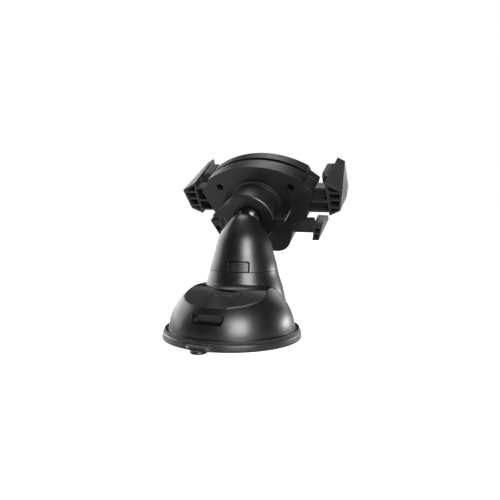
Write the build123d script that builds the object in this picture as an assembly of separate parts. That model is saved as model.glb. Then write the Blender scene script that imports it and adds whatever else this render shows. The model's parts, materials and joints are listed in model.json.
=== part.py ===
from build123d import *
import os
from math import atan, cos, pi, radians, sin, sqrt, tan

# Suction-base phone mount for a dashboard: a domed base on a rubber suction pad, an ogive arm with a
# quick-release tenon, a ball joint with a winged lock nut, and a head with sprung side jaws and two feet.
# Millimetres. Origin: centre of the pad's flat underside. +Z up, -Y is the lever side, X = 0 is the
# plane of symmetry.

# ---- driving dimensions -------------------------------------------------------------------------
WALL = 2.2                  # moulded wall
RUN = 0.05                  # radial running clearance of a pin or slide
GAP = 0.25                  # visible shut line

PAD_R = 42.5                # suction pad rim
PAD_RIM_TOP = 4.4
PAD_SHEET = 3.0             # thickness of the pad's flat sheet
TAB_REACH = 47.5
TAB_HALF = 9.0
KNOB_R = 4.8
KNOB_Y = -45.4

DOME_R = 38.6               # half ellipsoid of the base
DOME_H = 34.0
DOME_Z = 4.0
FLANGE_R = 41.1
BASE_Z = 4.5                # underside of the dome
FLANGE_TOP = 6.0
SKIRT_LIMIT_R = 40.3

ARM_Y = 18.5                # the arm's upright axis stands behind the pad's centre
SEAM_Z = 39.7               # joint between base and arm
SEAM_R = 21.3
SEAM_GAP = 0.2
TENON_R = 12.0
TENON_TOP = 54.0
TENON_FLAT = 10.3
LIFT_SLOT = 2.6

SCOOP_BACK = 9.0            # where the recess stops, under the neck
CREST_ROUND = 2.5
COVE_Y, COVE_R, COVE_Z = 17.3, 25.4, 29.8     # axis, foot radius and foot height of the neck's cove
LEVER_HALF = 9.8
LEVER_T = 3.0
LEVER_LIP_Z = 19.3
LEVER_LIP_Y = -30.1
LEVER_Y, LEVER_Z = -11.0, 24.3        # lever pivot
LEVER_TAIL_R = 7.8
LEVER_HUB_R = 2.9
LEVER_TURN = 32.0
WELL_FLOOR = 20.0
POCKET_Z = 13.5
POCKET_Y = -29.8
PIN_R = 1.25
ROD_R = 2.5
ROD_DROP = 3.5
CROSS_Z = 23.3
DISC_R = 14.0
DISC_Z = 6.8
GUIDE_Z = 12.5
SCREW_RING_R = 32.6

BUTTON_TURN = 14.0          # button position round the arm, from -Y towards +X
BUTTON_HALF = 5.75
BUTTON_TOP = 45.5
BUTTON_BACK = 17.4
BUTTON_TRAVEL = 2.0

BALL_R = 8.5
HEAD_Y, HEAD_Z = 29.5, 70.5          # origin of the head's frame
HEAD_PITCH = 29.5           # the head leans back by this much
BALL_UP = 2.0               # ball centre above the head frame's origin, along the head
BALL_OFFSET = 9.0           # ball centre to the arm's sloping back face
SHANK_R = 4.0
LINER_R = 9.35

# Head sizes, in the head's own frame: x across, y up the phone, z out of the back towards the arm.
NUT_FRONT, NUT_BACK, NUT_R = 3.4, -14.7, 17.2
NUT_FLANGE_R, NUT_WAIST_R = 17.9, 16.4
NUT_MOUTH_R, NUT_THROAT_R = 9.9, 9.15
NUT_LIP = 2.4               # inner face of the nut's lip, over the collet
LINER_LOW, LINER_HIGH = -6.5, 1.8
WING_TIP = 24.6
STEM_R, STEM_END = 14.3, -1.0
COVER_BACK, COVER_EDGE = -15.0, -24.6
SHELL_EDGE, SHELL_FRONT = -27.6, -34.2
PAD_FRONT = -36.0
BAR_LOW, BAR_HIGH = -7.4, 10.6
BAR_BACK, BAR_FRONT = -20.6, -27.4
JAW_X, JAW_FRONT = 45.6, -54.6
FOOT_LOW, FOOT_HIGH = -22.9, -13.0
FOOT_BACK, FOOT_FRONT = -19.6, -23.0
SCREW_X, SCREW_Y = 24.6, 14.1
PINION_Y = (BAR_LOW + BAR_HIGH) / 2
MODULE = 0.8
TEETH = 12
PRESSURE = radians(20)
BACKLASH = 0.07             # off each tooth flank
RACK_BACK, RACK_FRONT = -22.6, -25.6
SPRING_Y = 13.0
SPRING_POST_X, SPRING_LUG_X = -17.0, 8.0

HEAD = Plane(
    origin=(0, HEAD_Y, HEAD_Z),
    x_dir=(1, 0, 0),
    z_dir=(0, -cos(radians(HEAD_PITCH)), -sin(radians(HEAD_PITCH))),
)
FAR = 60.0                  # longer than any feature a cutter has to pass


# ---- helpers ------------------------------------------------------------------------------------
def block(x0, x1, y0, y1, z0, z1):
    """A box between two opposite corners."""
    middle = Pos((x0 + x1) / 2, (y0 + y1) / 2, (z0 + z1) / 2)
    return middle * Box(abs(x1 - x0), abs(y1 - y0), abs(z1 - z0))


def disc(radius, z0, z1, x=0.0, y=0.0):
    """An upright cylinder between two heights."""
    return Pos(x, y, (z0 + z1) / 2) * Cylinder(radius, abs(z1 - z0))


def ring(outer, inner, z0, z1, x=0.0, y=0.0):
    """An upright tube between two heights."""
    return disc(outer, z0, z1, x, y) - disc(inner, min(z0, z1) - 1, max(z0, z1) + 1, x, y)


def cross_pin(radius, half, y, z):
    """A cylinder along X through (y, z)."""
    return Pos(0, y, z) * Rot(0, 90, 0) * Cylinder(radius, 2 * half)


def turned(points):
    """A solid of revolution about Z from (radius, height) corners."""
    profile = make_face(Polyline(*points, close=True))
    return revolve(Plane.XZ * profile, Axis.Z)


def prism(face, z0, z1):
    """A flat face in the XY plane, raised between two heights."""
    return Pos(0, 0, min(z0, z1)) * extrude(face, abs(z1 - z0))


def plate(points, z0, z1, radius=0.0):
    """A prism over a polygon, with its upright corners rounded."""
    face = make_face(Polyline(*points, close=True))
    if radius:
        face = fillet(face.vertices(), radius)
    return prism(face, z0, z1)


def side_prism(face, x0, x1):
    """A face drawn in (y, z), raised along X between two places."""
    return Pos(x0, 0, 0) * extrude(Plane.YZ * face, x1 - x0)


def mirrored(shape):
    """The same shape on the other side of X = 0."""
    return mirror(shape, about=Plane.YZ)


def coil(radius, wire, z0, z1, turns):
    """A helical spring standing on Z between two heights, wire ends included."""
    height = z1 - z0 - 2 * wire
    path = Pos(0, 0, z0 + wire) * Helix(pitch=height / turns, height=height, radius=radius)
    start = Plane(origin=path @ 0, z_dir=path % 0)
    return sweep(start * Circle(wire), path=path)


def in_head(shape):
    """Places a shape made in the head's frame."""
    return HEAD.location * shape


def on_ball(shape):
    """Places a shape made about the ball's centre, on the head's back-to-front axis."""
    return in_head(Pos(0, BALL_UP, 0) * shape)


# ---- base ---------------------------------------------------------------------------------------
def scoop_line(drop):
    """The lever recess in side view, from the dome's front edge back to the neck."""
    points = [(-46, 21.4), (-30, 23.4), (-19, 25.4), (-9, 28.2), (-4.6, 30.3)]
    return Spline(*[(y, z - drop) for y, z in points])


def above_scoop(drop, back):
    """Everything above the recess surface lowered by drop, as far back as a given place."""
    line = scoop_line(drop)
    rest = Polyline(line @ 1, (back, (line @ 1).Y + 0.6), (back, FAR), (-46, FAR), line @ 0)
    return side_prism(make_face(line + rest), -FAR, FAR)


def dome_form(shrink):
    """The half ellipsoid of the base, all round smaller by shrink."""
    arc = EllipticalCenterArc((0, DOME_Z), DOME_R - shrink, DOME_H - shrink, arc_size=90)
    profile = make_face(arc + Polyline(arc @ 1, (0, DOME_Z), arc @ 0))
    return revolve(Plane.XZ * profile, Axis.Z) - block(-FAR, FAR, -FAR, FAR, 0, BASE_Z)


def neck_form(shrink):
    """The flared neck behind the recess, cut off flush with the flange at the back."""
    side = Spline(
        (31.0 - shrink, BASE_Z), (28.6 - shrink, 13.0), (26.4 - shrink, 20.3), (24.9 - shrink, 27.0),
        (23.4 - shrink, 32.0), (22.2 - shrink, 35.7), (SEAM_R - shrink, SEAM_Z - SEAM_GAP),
    )
    profile = make_face(side + Polyline(side @ 1, (0, SEAM_Z - SEAM_GAP), (0, BASE_Z), side @ 0))
    flared = Pos(0, ARM_Y, 0) * revolve(Plane.XZ * profile, Axis.Z)
    return flared & disc(SKIRT_LIMIT_R - shrink, 0, FAR)


def lever_well():
    """The space the lever lies in, with the finger pocket under its lip."""
    swing = cross_pin(LEVER_TAIL_R + GAP, LEVER_HALF + GAP, LEVER_Y, LEVER_Z)
    half = LEVER_HALF + GAP
    trough = block(-half, half, -FAR, LEVER_Y, WELL_FLOOR, FAR)
    pocket = block(-half, half, -FAR, POCKET_Y, POCKET_Z, WELL_FLOOR + 1)
    pocket = fillet(pocket.edges().filter_by(Axis.Y).group_by(Axis.Z)[0], 3.0)
    fork_room = block(-6.2, 6.2, LEVER_Y, 5.0, GUIDE_Z + 2.1, 29.4)
    upper_limit = above_scoop(0, -2.0)
    room = (trough + swing + pocket) & dome_form(-1.0)
    return (room - (upper_limit - block(-FAR, FAR, -FAR, -8, 0, FAR))) + fork_room


def well_walls():
    """Outer form of the walls that enclose the lever's well and finger pocket."""
    half = LEVER_HALF + GAP + 2.0
    trough = block(-half, half, -FAR, -2.2, WELL_FLOOR - 2.0, FAR)
    return trough + block(-half, half, -FAR, POCKET_Y + 2.0, POCKET_Z - 2.0, FAR)


def neck_cove():
    """The cove that spreads the neck over the recess and the dome's shoulders."""
    side = Spline(
        (COVE_R, COVE_Z), (COVE_R - 1.9, COVE_Z + 1.1), (COVE_R - 3.5, COVE_Z + 3.2),
        (COVE_R - 4.8, COVE_Z + 6.8), (COVE_R - 5.5, SEAM_Z - 1),
    )
    inside = Polyline(side @ 1, (0, SEAM_Z - 1), (0, COVE_Z - 4), (COVE_R, COVE_Z - 4), side @ 0)
    profile = make_face(side + inside)
    return (Pos(0, COVE_Y, 0) * revolve(Plane.XZ * profile, Axis.Z)) & dome_form(0)


def base_dome():
    scooped = dome_form(0) - above_scoop(0, SCOOP_BACK)
    high_edges = [e for e in scooped.edges() if e.center().Z > WELL_FLOOR and e.center().Y < 0]
    crest = [e for e in high_edges if e.length > DOME_R]
    outer = fillet(crest, CREST_ROUND) + neck_cove() + neck_form(0)
    outer += ring(FLANGE_R, FLANGE_R - 6, BASE_Z, FLANGE_TOP)
    neck_room = neck_form(2.4) - block(-FAR, FAR, -FAR, FAR, SEAM_Z - 2.6, FAR)
    room = (dome_form(WALL) - above_scoop(WALL, SCOOP_BACK)) + neck_room
    room = room - (well_walls() - neck_room)
    shell = outer - room
    guide = disc(5.6, GUIDE_Z, GUIDE_Z + 5.5) & block(-3.4, 3.4, -FAR, FAR, 0, FAR)
    ribs = block(-FAR, FAR, -1, 1, GUIDE_Z, GUIDE_Z + 2) + block(-1, 1, -FAR, FAR, GUIDE_Z, GUIDE_Z + 2)
    shell += guide + (ribs & dome_form(1.0))
    for x, y in screw_places():
        shell += disc(3.0, 5.3, 14.0, x, y) & dome_form(1.0)
    shell += Pos(0, ARM_Y, 0) * tenon()
    shell -= lever_well()
    panel = block(-7.6, 7.6, POCKET_Y - 0.9, POCKET_Y, POCKET_Z + 0.9, WELL_FLOOR - 1.2)
    shell += fillet(panel.edges().filter_by(Axis.Y), 1.2)
    shell -= cross_pin(PIN_R, LEVER_HALF + 1.8, LEVER_Y, LEVER_Z)
    shell -= disc(ROD_R + RUN, 0, 30)
    for x, y in screw_places():
        shell -= disc(PIN_R, 5, 12.2, x, y)
    return shell


def tenon():
    """The keyed post that the arm drops onto, slotted for the catch, on its own axis."""
    post = ring(TENON_R, TENON_R - 2.6, SEAM_Z - 2.6, TENON_TOP)
    post += disc(TENON_R, TENON_TOP - 2.5, TENON_TOP) + disc(TENON_R, SEAM_Z - 2.6, SEAM_Z - SEAM_GAP)
    post -= block(-FAR, FAR, TENON_FLAT, FAR, SEAM_Z - SEAM_GAP, FAR)
    slot = block(-LIFT_SLOT, LIFT_SLOT, -FAR, -TENON_R + 2.2, SEAM_Z - SEAM_GAP, FAR)
    return post - Rot(0, 0, BUTTON_TURN) * slot


def screw_places():
    """The four base screws, on a circle, clear of the lever and the ribs."""
    return [(SCREW_RING_R * cos(radians(a)), SCREW_RING_R * sin(radians(a))) for a in (28, 152, 208, 332)]


def suction_pad():
    body = turned([
        (0, 0), (PAD_R - 0.9, 0), (PAD_R, 1.0), (PAD_R, PAD_RIM_TOP - 1.3), (PAD_R - 1.2, PAD_RIM_TOP),
        (37.6, PAD_RIM_TOP), (37.0, PAD_SHEET), (0, PAD_SHEET),
    ])
    tab = block(-TAB_HALF, TAB_HALF, -TAB_REACH, -PAD_R + 4, 1.5, 3.4)
    tab = fillet(tab.edges().filter_by(Axis.Z).group_by(Axis.Y)[0], 5.0)
    knob = disc(KNOB_R, 0, 1.5, 0, KNOB_Y)
    return body + tab + knob


def pad_clamp_ring():
    body = ring(36.2, 28.5, PAD_SHEET, 5.2)
    for x, y in screw_places():
        body -= disc(PIN_R + 0.2, 2, 6, x, y)
        body -= disc(2.9, 2, 4.5, x, y)
    return body


def base_screws():
    screws = Part()
    for x, y in screw_places():
        screws += disc(2.7, PAD_SHEET + 0.1, 4.5, x, y) + disc(PIN_R, 4.4, 12.0, x, y)
        screws -= block(x - 2, x + 2, y - 0.4, y + 0.4, 2, PAD_SHEET + 0.8)
    return screws


def lock_lever():
    half = LEVER_HALF
    line = scoop_line(0)
    under = scoop_line(LEVER_T)
    section = make_face(line + Line(line @ 1, under @ 1) + under + Line(line @ 0, under @ 0))
    band = side_prism(section, -half, half)
    tail = cross_pin(LEVER_TAIL_R, half, LEVER_Y, LEVER_Z)
    top = band & (tail + block(-half, half, -FAR, LEVER_Y, 0, FAR))
    lip = block(-half, half, -FAR, LEVER_LIP_Y, LEVER_LIP_Z, FAR) - above_scoop(0.2, 5)
    body = ((top + lip) & dome_form(0.15)) + cross_pin(LEVER_HUB_R, half, LEVER_Y, LEVER_Z)
    for side in (-1, 1):
        near, far = sorted((side * 3.55, side * 5.75))
        body += fork_arm(near, far)
    body -= cross_pin(PIN_R + RUN, half + 1, LEVER_Y, LEVER_Z)
    return body


def fork_arm(x0, x1):
    """One arm of the lever's fork, slotted for the rod's cross pin."""
    reach = -LEVER_Y
    low = CROSS_Z - LEVER_Z
    turn = radians(LEVER_TURN)
    down = low - ROD_DROP
    end_y = LEVER_Y + reach * cos(turn) - down * sin(turn)
    end_z = LEVER_Z + reach * sin(turn) + down * cos(turn)
    outline = make_hull(
        (Pos(LEVER_Y, LEVER_Z) * Circle(3.2)).edges()
        + (Pos(0, CROSS_Z) * Circle(2.9)).edges()
        + (Pos(end_y, end_z) * Circle(2.9)).edges()
    )
    slot = make_hull(
        (Pos(0, CROSS_Z) * Circle(PIN_R + 0.2)).edges() + (Pos(end_y, end_z) * Circle(PIN_R + 0.2)).edges()
    )
    return side_prism(outline - slot, x0, x1)


def lever_pin():
    return cross_pin(PIN_R, LEVER_HALF + 1.75, LEVER_Y, LEVER_Z)


def suction_rod():
    body = disc(DISC_R, DISC_Z, DISC_Z + 1.8) + disc(ROD_R, DISC_Z, CROSS_Z + 3.2)
    return body - cross_pin(PIN_R, 10, 0, CROSS_Z)


def rod_cross_pin():
    return cross_pin(PIN_R, 6.0, 0, CROSS_Z)


def rod_spring():
    return coil(4.7, 0.45, DISC_Z + 1.85, GUIDE_Z - 0.05, 2.5)


# ---- arm ----------------------------------------------------------------------------------------
def ogive(shrink):
    """The arm's outer form about its own axis, all round smaller by shrink."""
    side = Spline(
        (SEAM_R - shrink, SEAM_Z), (18.65 - shrink, 49.9), (14.95 - shrink, 61.5),
        (10.8 - shrink, 67.7 - shrink * 0.3), (6.8 - shrink * 0.8, 72.2 - shrink * 0.6), (0, 74.8 - shrink),
        tangents=[(-0.16, 1), (-1, 0)],
    )
    profile = make_face(side + Polyline(side @ 1, (0, SEAM_Z), side @ 0))
    return Pos(0, ARM_Y, 0) * revolve(Plane.XZ * profile, Axis.Z)


def behind_arm(shift):
    """Everything behind the arm's two sloping back faces, moved forwards by shift."""
    upper = HEAD.location * block(-FAR, FAR, -FAR, FAR, -2 * FAR, BALL_OFFSET + shift)
    lean = Pos(0, 24.3 - shift, 61.5) * Rot(12, 0, 0) * block(-FAR, FAR, 0, FAR, -FAR, FAR)
    return upper & (lean + block(-FAR, FAR, -FAR, FAR, 61.5, 2 * FAR))


def arm_shell():
    skin = ogive(0) - behind_arm(0)
    room = ogive(2.4) - behind_arm(2.4) - block(-FAR, FAR, -FAR, FAR, 60.0, FAR * 2)
    socket = disc(TENON_R + 2.6, SEAM_Z, 58.5, 0, ARM_Y)
    ribs = block(-FAR, FAR, ARM_Y - 1, ARM_Y + 1, 47.5, 60) + block(-1, 1, ARM_Y + 8, FAR, 44, 60)
    keep = socket + (ribs & ogive(1.0))
    body = skin - (room - keep)
    bore = disc(TENON_R + RUN, SEAM_Z - 1, TENON_TOP + 0.6, 0, ARM_Y)
    bore -= block(-FAR, FAR, ARM_Y + TENON_FLAT + RUN, FAR, 0, FAR)
    body -= bore
    body -= on_button_axis(button_room())
    body -= on_ball(disc(SHANK_R, BALL_R, 22.0))
    return body


def on_button_axis(shape):
    """Turns a shape made on -Y about the arm's axis to where the button is."""
    return Pos(0, ARM_Y, 0) * Rot(0, 0, BUTTON_TURN) * shape


def button_room():
    """The opening in the arm's lower edge, with a guide for the button and its catch."""
    half = BUTTON_HALF + 0.75
    mouth = block(-half, half, -FAR, -BUTTON_BACK + BUTTON_TRAVEL + 0.3, SEAM_Z - 1, BUTTON_TOP + 0.75)
    mouth = fillet(mouth.edges().filter_by(Axis.Y).group_by(Axis.Z)[-1], 1.6)
    catch = block(-LIFT_SLOT, LIFT_SLOT, -BUTTON_BACK, -TENON_R + 1, SEAM_Z - 1, 42.3)
    return mouth + catch


def release_button():
    half = BUTTON_HALF
    body = block(-half, half, -FAR, -BUTTON_BACK, SEAM_Z + 0.3, BUTTON_TOP)
    body = fillet(body.edges().filter_by(Axis.Y).group_by(Axis.Z)[-1], 1.2)
    face = Pos(0, -ARM_Y, 0) * ogive(0.3)
    grooves = Part()
    for z in (41.6, 42.9, 44.2):
        grooves += block(-3.4, 3.4, -FAR, 0, z - 0.25, z + 0.25)
    body = (body & face) - (grooves - Pos(0, -ARM_Y, 0) * ogive(0.75))
    catch = block(-2.1, 2.1, -BUTTON_BACK, -TENON_R - 0.1, SEAM_Z + 0.4, 41.9)
    return on_button_axis(body + catch)


def button_spring():
    spring = coil(1.5, 0.3, TENON_R + 2.7, BUTTON_BACK - 0.05, 2.5)
    return on_button_axis(Pos(0, 0, 44.1) * Rot(90, 0, 0) * spring)


def ball_stud():
    ball = Sphere(BALL_R)
    neck = turned([(0, 5.5), (5.2, 6.2), (5.6, BALL_OFFSET - 0.05), (0, BALL_OFFSET - 0.05)])
    return on_ball(ball + neck + disc(SHANK_R, 6.0, 21.5))


# ---- ball joint ---------------------------------------------------------------------------------
def ball_liner():
    cup = Sphere(LINER_R) - Sphere(BALL_R + RUN)
    return on_ball(cup & disc(NUT_R, LINER_LOW, LINER_HIGH))


def ball_collet():
    """Split collar that grips the ball when the nut is tightened."""
    body = disc(11.4, -9.6, NUT_LIP - 0.2) - Sphere(LINER_R + RUN)
    body -= disc(5.0, -12, 0)
    for turn in range(3):
        body -= Rot(0, 0, 60 * turn + 30) * block(-FAR, FAR, -0.5, 0.5, -4.0, 10)
    return on_ball(body)


def lock_nut():
    """Winged ring with a flange at its back: two swept wings half a turn apart."""
    corners = [(-9.4, 13.2), (-WING_TIP, 1.9), (-WING_TIP, 0), (-9.0, 0)]
    wing = plate(corners, NUT_BACK + 2.5, NUT_FRONT, 0.5)
    body = turned([
        (0, NUT_BACK), (NUT_FLANGE_R, NUT_BACK), (NUT_FLANGE_R, NUT_BACK + 2.0),
        (NUT_WAIST_R, NUT_BACK + 2.3), (NUT_R, NUT_FRONT - 0.7), (NUT_R - 0.7, NUT_FRONT), (0, NUT_FRONT),
    ])
    body += wing + Rot(0, 0, 180) * wing
    body -= turned([
        (0, 0), (NUT_THROAT_R, 0), (NUT_THROAT_R, NUT_LIP + 0.3), (NUT_MOUTH_R, NUT_FRONT + 0.1),
        (0, NUT_FRONT + 0.1),
    ])
    body -= disc(11.7, STEM_END - 1, NUT_LIP)
    body -= disc(STEM_R + RUN, NUT_BACK - 1, STEM_END + 0.4)
    return on_ball(body)


# ---- head ---------------------------------------------------------------------------------------
def housing_face(inset):
    """The head's outline: an arched top, shoulders, and a tongue at the bottom."""
    right = [(32.2, 19.6), (33.3, 15.9), (38.6, 11.1), (31.7, -9.0), (23.8, -11.7), (17.2, -28.7)]
    left = [(-x, y) for x, y in right]
    round_end, round_middle = (5.0, -35.9), (13.2, -33.8)
    edges = ThreePointArc(left[0], (0, 29.1), right[0]) + Polyline(*right)
    edges += ThreePointArc(right[-1], round_middle, round_end)
    edges += Line(round_end, (-round_end[0], round_end[1]))
    edges += ThreePointArc((-round_end[0], round_end[1]), (-round_middle[0], round_middle[1]), left[-1])
    edges += Polyline(*left[::-1])
    face = make_face(edges)
    return offset(face, -inset, kind=Kind.ARC) if inset else face


def bar_slots(play):
    """Room through the housing's sides for the two clamp bars."""
    return block(-FAR, FAR, BAR_LOW - play, BAR_HIGH + play, BAR_BACK + play, BAR_FRONT - play)


def foot_slots(play):
    """Room through the tongue's sides for the two foot bars."""
    return block(-FAR, FAR, FOOT_LOW - play, FOOT_HIGH + play, FOOT_BACK + play, FOOT_FRONT - play)


def rear_cover():
    body = prism(housing_face(0), COVER_EDGE, COVER_BACK)
    low_sides = prism(housing_face(0), SHELL_EDGE + 0.2, COVER_EDGE)
    body += low_sides - block(-31.5, 31.5, 12.0, FAR, 0, -FAR) - block(-FAR, FAR, 18.5, FAR, 0, -FAR)
    body -= prism(housing_face(WALL), -FAR, COVER_BACK - WALL)
    body -= bar_slots(0.1) + foot_slots(0.1)
    stem = ring(STEM_R, 11.45, COVER_BACK - 0.1, STEM_END) + disc(STEM_R, COVER_BACK - 0.1, -9.7)
    body += Pos(0, BALL_UP, 0) * stem
    body += disc(2.0, COVER_BACK - WALL + 0.1, -30.0, 0, PINION_Y)
    post = disc(1.0, COVER_BACK - WALL + 0.1, -27.0, SPRING_POST_X, SPRING_Y)
    body += post + about_pinion(post)
    for x in (-SCREW_X, SCREW_X):
        body += disc(3.1, -20.4, COVER_BACK - 1, x, SCREW_Y)
        body -= disc(2.3, -18.6, COVER_BACK + 1, x, SCREW_Y)
        body -= disc(1.4, -21, COVER_BACK, x, SCREW_Y)
    return in_head(body)


def front_shell():
    body = prism(housing_face(0), SHELL_FRONT, SHELL_EDGE)
    body += prism(housing_face(WALL + 0.2), SHELL_EDGE, COVER_EDGE) - block(-FAR, FAR, -FAR, 12, 0, -FAR)
    body -= prism(housing_face(2 * WALL + 0.2), SHELL_FRONT + WALL, 0)
    body -= bar_slots(0.1) + foot_slots(0.1)
    body -= disc(2.05, -30.1, 0, 0, PINION_Y)
    for x in (-SCREW_X, SCREW_X):
        body += disc(2.8, SHELL_FRONT + WALL - 0.1, -20.6, x, SCREW_Y)
        body -= disc(1.2, -30.0, -20, x, SCREW_Y)
    return in_head(body)


def housing_screws():
    screws = Part()
    for x in (-SCREW_X, SCREW_X):
        screws += disc(2.2, -18.5, -17.3, x, SCREW_Y) + disc(1.2, -29.0, -18.4, x, SCREW_Y)
        screws -= block(x - 1.6, x + 1.6, SCREW_Y - 0.3, SCREW_Y + 0.3, -17.8, -17)
        screws -= block(x - 0.3, x + 0.3, SCREW_Y - 1.6, SCREW_Y + 1.6, -17.8, -17)
    return in_head(screws)


def front_pad():
    outline = Pos(0, 4.0) * RectangleRounded(56, 27, 5)
    return in_head(prism(outline, PAD_FRONT, SHELL_FRONT))


def involute_point(base, reach, turn, side):
    """A point on a tooth flank: the involute of the base circle, turned to its place."""
    roll = sqrt(max(reach * reach / (base * base) - 1, 0))
    angle = turn - side * (roll - atan(roll))
    return reach * cos(angle), reach * sin(angle)


def clamp_pinion():
    """Twelve-tooth pinion that keeps the two jaws moving together."""
    pitch_r = MODULE * TEETH / 2
    base = pitch_r * cos(PRESSURE)
    tip, root = pitch_r + 0.8 * MODULE, pitch_r - 1.0 * MODULE
    half = pi / (2 * TEETH) - BACKLASH / pitch_r + tan(PRESSURE) - PRESSURE
    reaches = [root - 0.3] + [base + (tip - base) * k / 4 for k in range(5)]
    gear = disc(root, RACK_FRONT, RACK_BACK)
    for tooth in range(TEETH):
        middle = 2 * pi * (tooth + 0.5) / TEETH
        left = [involute_point(base, r, middle + half, 1) for r in reaches]
        right = [involute_point(base, r, middle - half, -1) for r in reaches]
        gear += plate(right + left[::-1], RACK_FRONT, RACK_BACK)
    gear -= disc(2.0 + RUN, RACK_FRONT - 1, RACK_BACK + 1)
    return in_head(Pos(0, PINION_Y, 0) * gear)


def rack(x0, x1):
    """A straight rack along X above the pinion, its teeth pointing down, in mesh at rest."""
    pitch = pi * MODULE
    pitch_y = PINION_Y + MODULE * TEETH / 2
    tip_y, root_y = pitch_y - 0.7 * MODULE, pitch_y + 1.0 * MODULE
    tip_half = pitch / 4 - BACKLASH - 0.7 * MODULE * tan(PRESSURE)
    root_half = pitch / 4 - BACKLASH + 1.0 * MODULE * tan(PRESSURE)
    body = block(x0, x1, root_y, BAR_HIGH, RACK_FRONT, RACK_BACK)
    for tooth in range(-5, 5):
        middle = pitch * tooth
        corners = [
            (middle - root_half, root_y + 0.1), (middle - tip_half, tip_y),
            (middle + tip_half, tip_y), (middle + root_half, root_y + 0.1),
        ]
        body += plate(corners, RACK_FRONT, RACK_BACK)
    lug = block(
        SPRING_LUG_X - 0.9, SPRING_LUG_X + 0.9, BAR_HIGH - 0.5, SPRING_Y + 1.5, RACK_FRONT, RACK_BACK,
    )
    return body + lug


def jaw():
    """The right jaw: a deep hook outside the phone, hollow and ribbed at its back."""
    outline = make_face(Polyline((JAW_X, 14.3), (56.3, 8.4), (53.3, -6.1), (JAW_X, -10.0), close=True))
    body = prism(outline, JAW_FRONT, BAR_BACK)
    taper = Pos(56.3, 0, BAR_BACK) * Rot(0, 10, 0) * block(0, 30, -FAR, FAR, -FAR, 10)
    body -= taper
    hollow = prism(offset(outline, -1.4, kind=Kind.INTERSECTION), -31.0, BAR_BACK + 1)
    for y in (6.8, 1.6, -3.8):
        hollow -= block(JAW_X, FAR, y - 0.65, y + 0.65, -FAR, 0)
    return body - hollow


def clamp_bar():
    """The bar that carries the right jaw: an open channel with one rung."""
    body = block(29.0, JAW_X + 1.5, BAR_LOW, BAR_HIGH, BAR_FRONT, BAR_BACK)
    channel = block(30.5, JAW_X, BAR_LOW + 1.4, BAR_HIGH - 1.4, BAR_FRONT + 1.6, BAR_BACK + 1)
    channel -= block(29, JAW_X, -0.2, 1.1, -FAR, 0)
    return body - channel


def right_clamp_arm():
    body = clamp_bar() + jaw() + rack(-15.0, 30.0)
    return in_head(body)


def left_clamp_arm():
    """The left arm carries its rack under the pinion: the right arm turned half round the pinion."""
    body = mirrored(clamp_bar() + jaw()) + about_pinion(rack(-15.0, 30.0))
    return in_head(body)


def clamp_pad():
    """The right jaw's pad, in front of the housing so that it clears it when the jaws close."""
    body = block(39.5, JAW_X - 0.02, -8.0, 13.0, JAW_FRONT + 4.0, SHELL_FRONT - 0.4)
    return fillet(body.edges().filter_by(Axis.X), 2.0)


def right_clamp_pad():
    return in_head(clamp_pad())


def left_clamp_pad():
    return in_head(mirrored(clamp_pad()))


def one_clamp_spring():
    """The upper extension spring, from a post in the housing to a lug on the right arm's rack."""
    spring = Rot(0, 90, 0) * coil(1.5, 0.3, SPRING_POST_X + 1.0, SPRING_LUG_X - 1.0, 12)
    return Pos(0, SPRING_Y, (RACK_BACK + RACK_FRONT) / 2) * spring


def clamp_springs():
    """Two extension springs, the second half a turn round the pinion from the first."""
    return in_head(one_clamp_spring() + about_pinion(one_clamp_spring()))


def about_pinion(shape):
    """The same shape turned half round about the pinion's axis."""
    return Pos(0, PINION_Y, 0) * Rot(0, 0, 180) * Pos(0, -PINION_Y, 0) * shape


def foot():
    """The right foot: a slanted block with two open cells, a slide bar and a toe under the phone."""
    outline = make_face(Polyline((35.0, -15.2), (40.7, -15.4), (36.0, -28.9), (31.4, -29.1), close=True))
    body = prism(outline, -29.6, FOOT_BACK)
    cells = prism(offset(outline, -1.1, kind=Kind.INTERSECTION), -25.0, FOOT_BACK + 1)
    cells -= block(0, FAR, -19.6, 0, -FAR, 0) + block(0, FAR, -24.6, -23.4, -FAR, 0)
    body -= cells
    bar = block(12.0, 34.5, FOOT_LOW, FOOT_HIGH, FOOT_FRONT, FOOT_BACK)
    rim = 0.8
    bar -= block(13.5, 32.0, FOOT_LOW + rim, FOOT_HIGH - rim, FOOT_BACK - 0.6, FOOT_BACK + 1)
    toe = block(28.6, 36.0, -29.1, -26.1, -46.0, -29.0) + block(31.8, 35.6, -29.0, -22.0, -31.5, -28.0)
    return body + (bar - cells) + toe


def right_foot():
    return in_head(foot())


def left_foot():
    return in_head(mirrored(foot()))


NODES = [
    suction_pad, pad_clamp_ring, base_screws, base_dome, lever_pin, lock_lever,
    suction_rod, rod_cross_pin, rod_spring, arm_shell, release_button, button_spring,
    ball_stud, ball_liner, ball_collet, lock_nut, rear_cover, front_shell, housing_screws,
    front_pad, clamp_pinion, right_clamp_arm, left_clamp_arm, right_clamp_pad, left_clamp_pad,
    clamp_springs, right_foot, left_foot,
]

os.makedirs("parts", exist_ok=True)
for make in NODES:
    export_step(make(), f"parts/{make.__name__}.step")
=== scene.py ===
import bmesh
import bpy
import json
from math import cos, pi, radians, sin
from mathutils import Matrix, Vector


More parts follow.
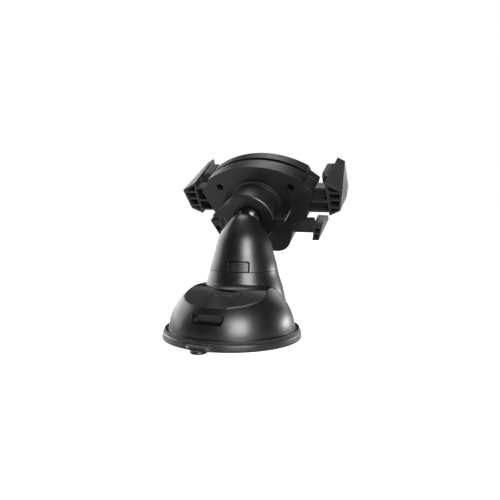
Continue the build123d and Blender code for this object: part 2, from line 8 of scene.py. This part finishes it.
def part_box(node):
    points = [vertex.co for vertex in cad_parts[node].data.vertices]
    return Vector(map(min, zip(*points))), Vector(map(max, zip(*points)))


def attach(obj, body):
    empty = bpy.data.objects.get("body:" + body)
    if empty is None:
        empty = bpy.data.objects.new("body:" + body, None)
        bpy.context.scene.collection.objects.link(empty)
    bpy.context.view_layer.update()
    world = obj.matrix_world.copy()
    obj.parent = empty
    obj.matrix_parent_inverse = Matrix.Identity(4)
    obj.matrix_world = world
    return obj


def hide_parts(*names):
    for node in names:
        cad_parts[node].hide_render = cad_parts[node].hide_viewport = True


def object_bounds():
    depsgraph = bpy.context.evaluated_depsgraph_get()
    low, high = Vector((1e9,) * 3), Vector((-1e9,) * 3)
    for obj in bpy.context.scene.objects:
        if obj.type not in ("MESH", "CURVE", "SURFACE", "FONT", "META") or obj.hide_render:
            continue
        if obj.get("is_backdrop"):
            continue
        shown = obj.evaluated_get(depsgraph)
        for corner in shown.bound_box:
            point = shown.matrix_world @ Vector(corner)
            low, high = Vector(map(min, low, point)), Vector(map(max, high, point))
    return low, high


# The looks of a suction-base phone mount. Metres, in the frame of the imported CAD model.
# The CAD nodes keep their shapes; the rubber pieces are rebuilt here as softer forms.

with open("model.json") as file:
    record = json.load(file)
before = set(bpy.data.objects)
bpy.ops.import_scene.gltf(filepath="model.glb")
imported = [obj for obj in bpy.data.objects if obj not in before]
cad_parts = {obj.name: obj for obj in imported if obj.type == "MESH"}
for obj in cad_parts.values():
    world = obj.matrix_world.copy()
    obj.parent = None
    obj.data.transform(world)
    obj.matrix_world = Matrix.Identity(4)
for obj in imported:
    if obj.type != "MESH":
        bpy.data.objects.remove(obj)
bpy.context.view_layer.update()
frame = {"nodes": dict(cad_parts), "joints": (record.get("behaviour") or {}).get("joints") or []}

MM = 0.001

# ---- colours (linear) ---------------------------------------------------------------------------
BASE_BLACK = (0.0030, 0.0030, 0.0032)
HEAD_BLACK = (0.0034, 0.0034, 0.0036)
# The jaws' black is set about four times the head's: painted light, a lift in colour that stands in for
# the light falling on the jaws' outer faces.
JAW_BLACK_WITH_PAINTED_LIGHT = (0.0140, 0.0140, 0.0143)
BUTTON_BLACK = (0.0035, 0.0035, 0.0037)
RUBBER_BLACK = (0.0030, 0.0030, 0.0030)
PAD_BLACK = (0.0035, 0.0035, 0.0037)
INNER_GREY = (0.0200, 0.0200, 0.0200)
STEEL_GREY = (0.1600, 0.1600, 0.1650)
SCREW_BLACK = (0.0180, 0.0180, 0.0185)
FLOOR_WHITE = (0.50, 0.50, 0.50)

# ---- brightness of the studio -------------------------------------------------------------------
FLOOR_SEEN, FLOOR_REFLECTED = 1.0, 0.20
ROOM_LIGHT = 0.02
BACKDROP_LIGHT = 1.0

# ---- camera -------------------------------------------------------------------------------------
CAMERA_AT = (0.1715, -0.3805, 0.0971)
CAMERA_TURN = 22.76
CAMERA_DOWN = 6.04
CAMERA_LENS = 49.9
SENSOR = 36.0

# ---- sizes --------------------------------------------------------------------------------------
BALL_UP = 2.0 * MM           # the ball's centre stands this far up the head from the middle of its frame
TAB_SHORT_OF_KNOB = 2.7 * MM    # the tab ends this far behind the front of the knob under it
SHEET_TOP = 3.0 * MM         # top of the suction pad's flat sheet
KNOB_R = 4.8 * MM


# ---- the head's own frame -----------------------------------------------------------------------
def joint(name):
    """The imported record's joint of that name."""
    return next(j for j in frame["joints"] if j["name"] == name)


BALL = Vector(joint("head_spin")["pos_m"])
BACK = Vector(joint("head_spin")["axis"]).normalized()
UP = Vector(joint("ball_pan")["axis"]).normalized()
CENTRE = BALL - BALL_UP * UP
HEAD = Matrix((
    (1, UP.x, BACK.x, CENTRE.x),
    (0, UP.y, BACK.y, CENTRE.y),
    (0, UP.z, BACK.z, CENTRE.z),
    (0, 0, 0, 1),
))


def head_box(node):
    """A CAD node's lowest and highest corners in the head's frame (x across, y up, z out of the back)."""
    to_head = HEAD.inverted()
    points = [to_head @ v.co for v in frame["nodes"][node].data.vertices]
    low = Vector(min(p[i] for p in points) for i in range(3))
    high = Vector(max(p[i] for p in points) for i in range(3))
    return low, high


# ---- material building blocks -------------------------------------------------------------------
class Nodes:
    """A short way to write a node tree: n("ShaderNodeX", input=value or socket, ...)."""

    def __init__(self, name):
        self.material = bpy.data.materials.new(name)
        self.material.use_nodes = True
        self.tree = self.material.node_tree
        self.shader = self.tree.nodes["Principled BSDF"]
        self.place = self.tree.nodes.new("ShaderNodeTexCoord").outputs["Object"]

    def link(self, value, socket):
        if isinstance(value, bpy.types.NodeSocket):
            self.tree.links.new(value, socket)
        else:
            socket.default_value = value

    def add(self, kind, out=0, **inputs):
        node = self.tree.nodes.new("ShaderNode" + kind)
        for key, value in inputs.items():
            if hasattr(node, key):
                setattr(node, key, value)
            else:
                self.link(value, node.inputs[key.replace("_", " ")])
        return node.outputs[out]

    def noise(self, scale, detail=3.0, roughness=0.55, vector=None):
        where = vector or self.place
        return self.add("TexNoise", Vector=where, Scale=scale, Detail=detail, Roughness=roughness)

    def ramp(self, value, low, high, to_low=0.0, to_high=1.0):
        """Maps value from the range low..high onto to_low..to_high, clamped."""
        node = self.tree.nodes.new("ShaderNodeMapRange")
        numbers = (low, high, to_low, to_high)
        for key, number in zip(("From Min", "From Max", "To Min", "To Max"), numbers):
            node.inputs[key].default_value = number
        self.link(value, node.inputs["Value"])
        return node.outputs["Result"]

    def math(self, operation, a, b=0.0):
        node = self.tree.nodes.new("ShaderNodeMath")
        node.operation = operation
        self.link(a, node.inputs[0])
        self.link(b, node.inputs[1])
        return node.outputs[0]

    def mix(self, share, a, b):
        """Blends two colours by a share from 0 to 1."""
        node = self.tree.nodes.new("ShaderNodeMix")
        node.data_type = "RGBA"
        self.link(share, node.inputs[0])
        self.link(a, node.inputs[6])
        self.link(b, node.inputs[7])
        return node.outputs[2]

    def edges(self, radius):
        """A mask that is 1 on sharp outer edges: where a rounded normal leaves the flat one."""
        rounded = self.add("Bevel", samples=4, Radius=radius)
        flat = self.add("NewGeometry", out=1)
        turn = self.tree.nodes.new("ShaderNodeVectorMath")
        turn.operation = "DOT_PRODUCT"
        self.link(rounded, turn.inputs[0])
        self.link(flat, turn.inputs[1])
        return self.ramp(turn.outputs["Value"], 0.97, 0.80), rounded

    def bump(self, height, distance, normal=None):
        node = self.tree.nodes.new("ShaderNodeBump")
        node.inputs["Distance"].default_value = distance
        self.link(height, node.inputs["Height"])
        if normal is not None:
            self.link(normal, node.inputs["Normal"])
        return node.outputs["Normal"]


def grey(colour, gain=1.0):
    """A node colour from a linear triple."""
    return tuple(c * gain for c in colour) + (1.0,)


def moulded_plastic(name, colour, rough, grain, grain_depth, edge, handling=0.06, coat=0.0):
    """Injection-moulded plastic: eroded grain, drifting sheen from handling, worn bright edges, dust."""
    n = Nodes(name)
    wear, rounded = n.edges(edge)
    chips = n.ramp(n.noise(900.0, 4.0), 0.45, 0.62)
    worn = n.math("MULTIPLY", wear, n.math("MULTIPLY", chips, 0.5))
    drift = n.noise(55.0, 2.0)
    body = n.mix(n.ramp(drift, 0.3, 0.7), grey(colour, 0.85), grey(colour, 1.15))
    dust = n.ramp(n.noise(6500.0, 1.0), 0.72, 0.80, 0.0, 0.25)
    dusty = n.mix(dust, body, grey(colour, 2.2))
    n.link(n.mix(worn, dusty, grey(colour, 3.2)), n.shader.inputs["Base Color"])
    smears = n.ramp(n.noise(120.0, 5.0, 0.65), 0.35, 0.70, rough - handling, rough + handling)
    n.link(n.math("ADD", smears, n.math("MULTIPLY", worn, 0.12)), n.shader.inputs["Roughness"])
    n.link(n.bump(n.noise(grain, 2.0), grain_depth, rounded), n.shader.inputs["Normal"])
    n.shader.inputs["Coat Weight"].default_value = coat
    n.shader.inputs["Coat Roughness"].default_value = 0.28
    return n.material


def soft_rubber(name, colour, rough, grain):
    """Rubber: matt with a faint bloom on its edges, fine skin texture and specks of lint."""
    n = Nodes(name)
    wear, rounded = n.edges(0.5 * MM)
    bloom = n.ramp(n.noise(70.0, 4.0), 0.35, 0.75)
    body = n.mix(bloom, grey(colour, 0.8), grey(colour, 1.5))
    lint = n.ramp(n.noise(5200.0, 0.0), 0.74, 0.80, 0.0, 0.35)
    n.link(n.mix(lint, n.mix(n.math("MULTIPLY", wear, 0.35), body, grey(colour, 2.4)), grey(colour, 4.0)),
           n.shader.inputs["Base Color"])
    n.link(n.ramp(bloom, 0.0, 1.0, rough - 0.07, rough + 0.08), n.shader.inputs["Roughness"])
    n.link(n.bump(n.noise(grain, 3.0), 0.02 * MM, rounded), n.shader.inputs["Normal"])
    n.shader.inputs["Sheen Weight"].default_value = 0.12
    n.shader.inputs["Sheen Roughness"].default_value = 0.5
    return n.material


def plated_steel(name, colour):
    """Plated steel: turning marks, a little haze and darker spots."""
    n = Nodes(name)
    haze = n.noise(260.0, 3.0)
    shade = n.mix(n.ramp(haze, 0.3, 0.7), grey(colour, 0.7), grey(colour, 1.1))
    n.link(shade, n.shader.inputs["Base Color"])
    marks = n.add("TexWave", wave_type="RINGS", Vector=n.place, Scale=1800.0, Distortion=2.0)
    n.link(n.ramp(haze, 0.2, 0.8, 0.28, 0.46), n.shader.inputs["Roughness"])
    n.link(n.bump(marks, 0.006 * MM), n.shader.inputs["Normal"])
    n.shader.inputs["Metallic"].default_value = 1.0
    return n.material


def polished_black(name):
    """The ball and its neck: polished black, with fine grip scuffs round it."""
    n = Nodes(name)
    scuff = n.ramp(n.noise(1400.0, 5.0, 0.7), 0.50, 0.64)
    n.link(n.mix(scuff, grey(BASE_BLACK, 0.8), grey(BASE_BLACK, 1.6)), n.shader.inputs["Base Color"])
    n.link(n.ramp(scuff, 0.0, 1.0, 0.24, 0.34), n.shader.inputs["Roughness"])
    n.link(n.bump(n.noise(900.0, 2.0), 0.004 * MM), n.shader.inputs["Normal"])
    return n.material


def floor_material():
    """Pale, even paper."""
    n = Nodes("floor_paper")
    fibre = n.noise(90.0, 4.0)
    n.link(n.mix(fibre, grey(FLOOR_WHITE, 0.985), grey(FLOOR_WHITE)), n.shader.inputs["Base Color"])
    n.shader.inputs["Roughness"].default_value = 0.9
    n.shader.inputs["Emission Color"].default_value = (1.0, 1.0, 1.0, 1.0)
    seen = n.add("LightPath")
    n.link(n.ramp(seen, 0.0, 1.0, FLOOR_REFLECTED, FLOOR_SEEN), n.shader.inputs["Emission Strength"])
    return n.material


MATERIALS = {
    "base": moulded_plastic(
        "satin_black_base", BASE_BLACK, 0.36, 5200.0, 0.010 * MM, 0.45 * MM, handling=0.035, coat=0.12,
    ),
    "head": moulded_plastic("grained_black_head", HEAD_BLACK, 0.40, 3600.0, 0.030 * MM, 0.35 * MM),
    # The jaws' lighter colour is painted light, standing in for light on their outer faces.
    "jaw": moulded_plastic("grained_black_jaw", JAW_BLACK_WITH_PAINTED_LIGHT, 0.40, 3800.0, 0.025 * MM, 0.30 * MM),
    "button": moulded_plastic("fine_black_button", BUTTON_BLACK, 0.42, 4800.0, 0.012 * MM, 0.20 * MM),
    "inner": moulded_plastic("inner_grey", INNER_GREY, 0.50, 3000.0, 0.020 * MM, 0.20 * MM),
    "ball": polished_black("polished_black_ball"),
    "rubber": soft_rubber("suction_rubber", RUBBER_BLACK, 0.36, 1500.0),
    "grip": soft_rubber("grip_rubber", PAD_BLACK, 0.62, 2600.0),
    "steel": plated_steel("plated_steel", STEEL_GREY),
    "dark_steel": plated_steel("blackened_steel", SCREW_BLACK),
}

FINISH = {
    "base": ["base_dome", "lock_lever", "arm_shell"],
    "head": ["rear_cover", "front_shell", "lock_nut"],
    "jaw": ["right_clamp_arm", "left_clamp_arm", "right_foot", "left_foot"],
    "button": ["release_button"],
    "inner": ["pad_clamp_ring", "suction_rod", "ball_liner", "ball_collet", "clamp_pinion"],
    "ball": ["ball_stud"],
    "rubber": ["suction_pad"],
    "grip": ["front_pad", "right_clamp_pad", "left_clamp_pad"],
    "steel": ["base_screws", "lever_pin", "rod_cross_pin", "rod_spring", "button_spring", "clamp_springs"],
    "dark_steel": ["housing_screws"],
}


def dress(obj, key):
    """Gives an object one of the materials, in place of what it came with."""
    obj.data.materials.clear()
    obj.data.materials.append(MATERIALS[key])


# ---- rubber pieces ------------------------------------------------------------------------------
def new_piece(name, verts, faces, key, body, replaced):
    """A smooth-shaded closed mesh that rides on a body and stands for a CAD node."""
    mesh = bpy.data.meshes.new(name)
    mesh.from_pydata(verts, [], faces)
    bm = bmesh.new()
    bm.from_mesh(mesh)
    bmesh.ops.remove_doubles(bm, verts=bm.verts, dist=1e-7)
    bmesh.ops.recalc_face_normals(bm, faces=bm.faces)
    bm.to_mesh(mesh)
    bm.free()
    mesh.shade_smooth()
    piece = bpy.data.objects.new(name, mesh)
    bpy.context.scene.collection.objects.link(piece)
    dress(piece, key)
    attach(piece, body)
    if replaced:
        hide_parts(replaced)
    return piece


def ring_faces(rings, points):
    """Quads between successive closed rings of the same number of points."""
    faces = []
    for r in range(rings - 1):
        for k in range(points):
            a, b = r * points + k, r * points + (k + 1) % points
            faces.append((a, b, b + points, a + points))
    return faces


def rounded_outline(half_x, half_y, corner, per_corner=14):
    """Points round a rectangle with round corners, centred on the origin."""
    points = []
    for quarter in range(4):
        sx, sy = ((1, 1), (-1, 1), (-1, -1), (1, -1))[quarter]
        for step in range(per_corner + 1):
            a = (quarter + step / per_corner) * pi / 2
            x = sx * (half_x - corner) + corner * cos(a)
            y = sy * (half_y - corner) + corner * sin(a)
            points.append(Vector((x, y, 0)))
    return points


def dense(points, spacing):
    """The same closed outline, with extra points on its long sides."""
    out = []
    for a, b in zip(points, points[1:] + points[:1]):
        pieces = max(1, int((b - a).length / spacing))
        out += [a.lerp(b, k / pieces) for k in range(pieces)]
    return out


def moulded_pad(name, place, half_x, half_y, thick, corner, edge, relief, key, body, replaced):
    """A rubber pad glued on its flat back at z = 0, rounded over to a face at z = thick.
    relief(x, y) is the depth of the face's pattern, which fades out towards the rim."""
    outline = dense(rounded_outline(half_x, half_y, corner), 0.5 * MM)
    count = len(outline)
    rings = [[Vector((p.x, p.y, 0)) for p in outline]]
    for step in range(9):
        a = step / 8 * pi / 2
        inset, z = edge * (1 - cos(a)), thick - edge + edge * sin(a)
        sx, sy = 1 - inset / half_x, 1 - inset / half_y
        rings.append([Vector((p.x * sx, p.y * sy, z)) for p in outline])
    steps = int(min(half_x, half_y) / (0.22 * MM))
    start_x, start_y = 1 - edge / half_x, 1 - edge / half_y
    for step in range(1, steps):
        t = 1 - step / steps
        ring = []
        for p in outline:
            x, y = p.x * start_x * t, p.y * start_y * t
            fade = min(1.0, (1 - t) * min(half_x, half_y) / (1.2 * MM))
            ring.append(Vector((x, y, thick - relief(x, y) * fade)))
        rings.append(ring)
    verts = [place @ p for ring in rings for p in ring]
    faces = ring_faces(len(rings), count)
    faces.append(tuple(range(count))[::-1])
    verts.append(place @ Vector((0, 0, thick - relief(0, 0))))
    last = (len(rings) - 1) * count
    faces += [(last + k, last + (k + 1) % count, len(verts) - 1) for k in range(count)]
    return new_piece(name, verts, faces, key, body, replaced)


def ribs(pitch, depth, along):
    """Rounded parallel grooves: a relief that varies along one direction."""
    def relief(x, y):
        s = x if along == "x" else y
        return depth * (0.5 + 0.5 * cos(2 * pi * s / pitch)) ** 2
    return relief


def clamp_pad(side):
    """The ribbed grip inside one jaw, its back on the jaw and its face towards the phone."""
    node = side + "_clamp_pad"
    low, high = head_box(node)
    middle = (low + high) / 2
    facing = -1 if side == "right" else 1
    back_x = high.x if side == "right" else low.x
    turn = Matrix(((0, 0, facing, back_x), (0, 1, 0, middle.y), (-facing, 0, 0, middle.z), (0, 0, 0, 1)))
    half = (high - low) / 2
    return moulded_pad(
        side + "_clamp_grip", HEAD @ turn, half.z, half.y, 2 * half.x, 2.4 * MM, 0.9 * MM,
        ribs(2.4 * MM, 0.45 * MM, "y"), "grip", side + "_clamp", node,
    )


def phone_pad():
    """The face pad the phone leans on, with round dimples in rows."""
    low, high = head_box("front_pad")
    middle = (low + high) / 2
    half = (high - low) / 2
    flip = Matrix(((-1, 0, 0, middle.x), (0, 1, 0, middle.y), (0, 0, -1, high.z), (0, 0, 0, 1)))
    pitch, deep = 3.0 * MM, 0.35 * MM

    def dimples(x, y):
        return deep * (0.5 + 0.5 * cos(2 * pi * x / pitch) * cos(2 * pi * y / pitch)) ** 2

    return moulded_pad(
        "phone_face_pad", HEAD @ flip, half.x, half.y, 2 * half.z, 5.0 * MM, 0.8 * MM, dimples, "grip",
        "head", "front_pad",
    )


def turned_mesh(profile, centre=(0.0, 0.0), around=192):
    """Vertices and faces of a closed form turned about the vertical axis from (radius, z) points."""
    verts, faces = [], []
    for r, z in profile:
        for k in range(around):
            a = 2 * pi * k / around
            verts.append((centre[0] + r * cos(a), centre[1] + r * sin(a), z))
    faces += ring_faces(len(profile), around)
    faces.append(tuple(range(around))[::-1])
    faces.append(tuple(range((len(profile) - 1) * around, len(profile) * around)))
    return verts, faces


def arc(centre, radius, start, end, steps=8):
    """Points on a quarter-round or other arc, angles in degrees."""
    out = []
    for k in range(steps + 1):
        a = radians(start + (end - start) * k / steps)
        out.append((centre[0] + radius * cos(a), centre[1] + radius * sin(a)))
    return out


def suction_pad():
    """The rubber disc: a soft rim with a step under the base's flange, and a sealing lip below."""
    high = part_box("suction_pad")[1]
    rim, top = high.x, high.z
    lip = 0.7 * MM
    round_top = 1.1 * MM
    core = 0.5 * MM
    profile = [(core, 0.0), (rim - 8 * MM, 0.0), (rim - 7.6 * MM, 0.25 * MM), (rim - 7.0 * MM, 0.25 * MM)]
    profile += [(rim - 6.6 * MM, 0.0), (rim - 1.6 * MM, 0.0)]
    profile += arc((rim - lip, lip), lip, -90, 0)
    profile += [(rim - 0.10 * MM, top * 0.5)]
    profile += arc((rim - 0.25 * MM - round_top, top - round_top), round_top, 0, 90)
    profile += [(rim - 4.6 * MM, top - 0.02 * MM), (rim - 5.2 * MM, top - 0.4 * MM)]
    profile += [(rim - 5.6 * MM, SHEET_TOP), (core, SHEET_TOP)]
    verts, faces = turned_mesh(profile)
    return new_piece("suction_pad_rubber", verts, faces, "rubber", "base", "suction_pad")


def pull_tab():
    """The tab that breaks the suction: a soft tongue off the rim, with a round knob under it."""
    knob_front = -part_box("suction_pad")[0].y
    reach, half, root = knob_front - TAB_SHORT_OF_KNOB, 9.0 * MM, 37.5 * MM
    bottom, top, end_round = 1.5 * MM, 3.4 * MM, 5.5 * MM
    outline = []
    outline += [Vector((-half, -root, 0)), Vector((half, -root, 0))]
    for side, start in ((1, 0), (-1, -90)):
        corner_at = (side * (half - end_round), -reach + end_round)
        outline += [Vector((x, y, 0)) for x, y in arc(corner_at, end_round, start, start - 90, 12)]
    outline = dense(outline, 0.8 * MM)
    centre = Vector((0, -(reach + root) / 2, 0))
    soft = 0.75 * MM
    rings = []
    for k in range(9):
        a = radians(-90 + 180 * k / 8)
        inset = soft * (1 - cos(a))
        z = (bottom + top) / 2 + ((top - bottom) / 2) * sin(a)
        rings.append([centre + (p - centre) * (1 - inset / half) + Vector((0, 0, z)) for p in outline])
    count = len(outline)
    verts = [tuple(p) for ring in rings for p in ring]
    faces = ring_faces(len(rings), count)
    faces.append(tuple(range(count))[::-1])
    faces.append(tuple(range((len(rings) - 1) * count, len(rings) * count)))
    tab = new_piece("suction_pad_tab", verts, faces, "rubber", "base", None)
    knob_at = (0.0, -knob_front + KNOB_R)
    soft = 0.5 * MM
    knob_top, core = 1.7 * MM, 0.3 * MM
    profile = [(core, 0.0)] + arc((KNOB_R - soft, soft), soft, -90, 0)
    profile += [(KNOB_R, knob_top), (core, knob_top)]
    verts, faces = turned_mesh(profile, knob_at, 64)
    knob = new_piece("suction_pad_knob", verts, faces, "rubber", "base", None)
    return tab, knob


# ---- stage --------------------------------------------------------------------------------------
def area_light(name, place, towards, size, power, size_y=None):
    """A soft rectangular light aimed at a point."""
    lamp = bpy.data.lights.new(name, "AREA")
    lamp.shape = "RECTANGLE"
    lamp.size, lamp.size_y = size, size_y or size
    lamp.energy = power
    light = bpy.data.objects.new(name, lamp)
    light.location = place
    light.rotation_euler = (Vector(towards) - Vector(place)).to_track_quat("-Z", "Y").to_euler()
    bpy.context.scene.collection.objects.link(light)
    return light


def around_camera(turn, distance, height):
    """A place round the object: turn is in degrees from the camera's side, positive to its right."""
    a = radians(CAMERA_TURN + turn)
    return Vector((distance * sin(a), -distance * cos(a), height))


def build_floor(height):
    """A wide pale floor."""
    mesh = bpy.data.meshes.new("floor")
    half = 6.0
    corners = [(-half, -half, 0), (half, -half, 0), (half, half, 0), (-half, half, 0)]
    mesh.from_pydata(corners, [], [(0, 1, 2, 3)])
    floor = bpy.data.objects.new("floor", mesh)
    floor.location.z = height
    bpy.context.scene.collection.objects.link(floor)
    mesh.materials.append(floor_material())
    floor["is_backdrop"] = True


def build_world():
    """A white backdrop for the camera, and a dim even room for everything else."""
    world = bpy.data.worlds.new("studio")
    world.use_nodes = True
    nodes, links = world.node_tree.nodes, world.node_tree.links
    seen = nodes.new("ShaderNodeLightPath").outputs["Is Camera Ray"]
    strength = nodes.new("ShaderNodeMapRange")
    strength.inputs["To Min"].default_value = ROOM_LIGHT
    strength.inputs["To Max"].default_value = BACKDROP_LIGHT
    links.new(seen, strength.inputs["Value"])
    links.new(strength.outputs["Result"], nodes["Background"].inputs["Strength"])
    nodes["Background"].inputs["Color"].default_value = (1.0, 1.0, 1.0, 1.0)
    bpy.context.scene.world = world


def build_lights():
    """Softboxes: a large one in front, a low strip at the right, one behind each side and one overhead."""
    aim = (0.0, 0.01, 0.05)
    area_light("box_front", around_camera(14, 0.70, 0.30), aim, 0.38, 9.5, 0.44)
    area_light("box_right_low", around_camera(112, 0.32, 0.035), (0.0, 0.0, 0.02), 0.14, 0.42, 0.05)
    area_light("box_right_back", around_camera(150, 0.90, 0.38), aim, 0.60, 1.8, 0.60)
    area_light("box_left_back", around_camera(-132, 0.80, 0.24), aim, 0.85, 5.4, 0.60)
    area_light("box_top", around_camera(-160, 0.20, 0.85), aim, 0.50, 3.6, 0.50)


def build_stage():
    build_floor(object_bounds()[0].z - 0.05 * MM)
    build_world()
    build_lights()
    bpy.context.scene.view_settings.view_transform = "Standard"


def build_camera():
    """The camera at the height, turn and tilt of the picture to match."""
    data = bpy.data.cameras.new("camera")
    data.sensor_width = SENSOR
    data.lens = CAMERA_LENS
    camera = bpy.data.objects.new("camera", data)
    camera.location = CAMERA_AT
    camera.rotation_euler = (radians(90 - CAMERA_DOWN), 0, radians(CAMERA_TURN))
    bpy.context.scene.collection.objects.link(camera)
    bpy.context.scene.camera = camera


# ---- build --------------------------------------------------------------------------------------
for key, names in FINISH.items():
    for name in names:
        dress(frame["nodes"][name], key)

suction_pad()
pull_tab()
clamp_pad("right")
clamp_pad("left")
phone_pad()
build_stage()
build_camera()
